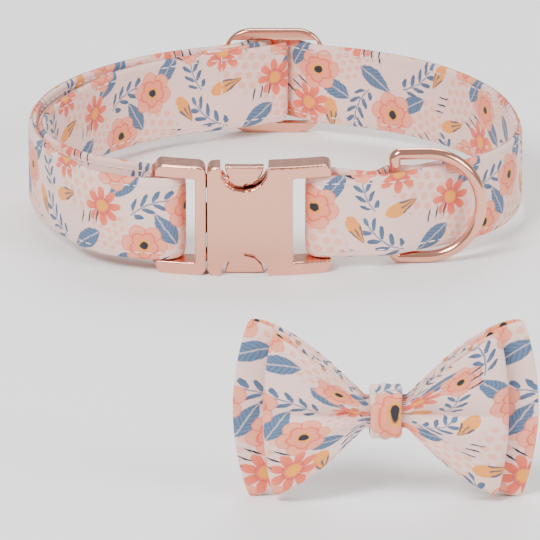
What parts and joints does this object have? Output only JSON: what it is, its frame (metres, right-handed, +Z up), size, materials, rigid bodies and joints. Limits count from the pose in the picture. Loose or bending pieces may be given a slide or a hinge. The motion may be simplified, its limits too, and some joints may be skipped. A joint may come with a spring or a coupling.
{
  "type": "pet bow tie collar",
  "caption": "Fabric pet collar loop with a side-release buckle, a D-ring and a slider, and its detached bow tie standing beside it.",
  "frame": {"origin": "on the surface that the set stands on, under the middle of its bounding box", "axes": "+X to the right seen from the front, +Y to the back, +Z up"},
  "size_m": [0.1456, 0.3146, 0.05],
  "materials": {
    "printed_cotton": "printed plain-weave cotton",
    "rose_gold": "polished rose-gold plating"
  },
  "bodies": {
    "collar": {"strap": "printed_cotton", "buckle_prong_half": "rose_gold", "buckle_socket_half": "rose_gold", "slider": "rose_gold", "bow_front_wings": "printed_cotton", "bow_back_wings": "printed_cotton", "bow_knot": "printed_cotton"},
    "ring": {"d_ring": "rose_gold"}
  },
  "joints": [
    {"name": "d_ring_swing", "type": "hinge", "parent": "collar", "child": "ring", "pos_m": [0.03451, 0.03297, 0.0176], "axis": [0, 0, 1], "range_deg": [-140, 2]}
  ]
}
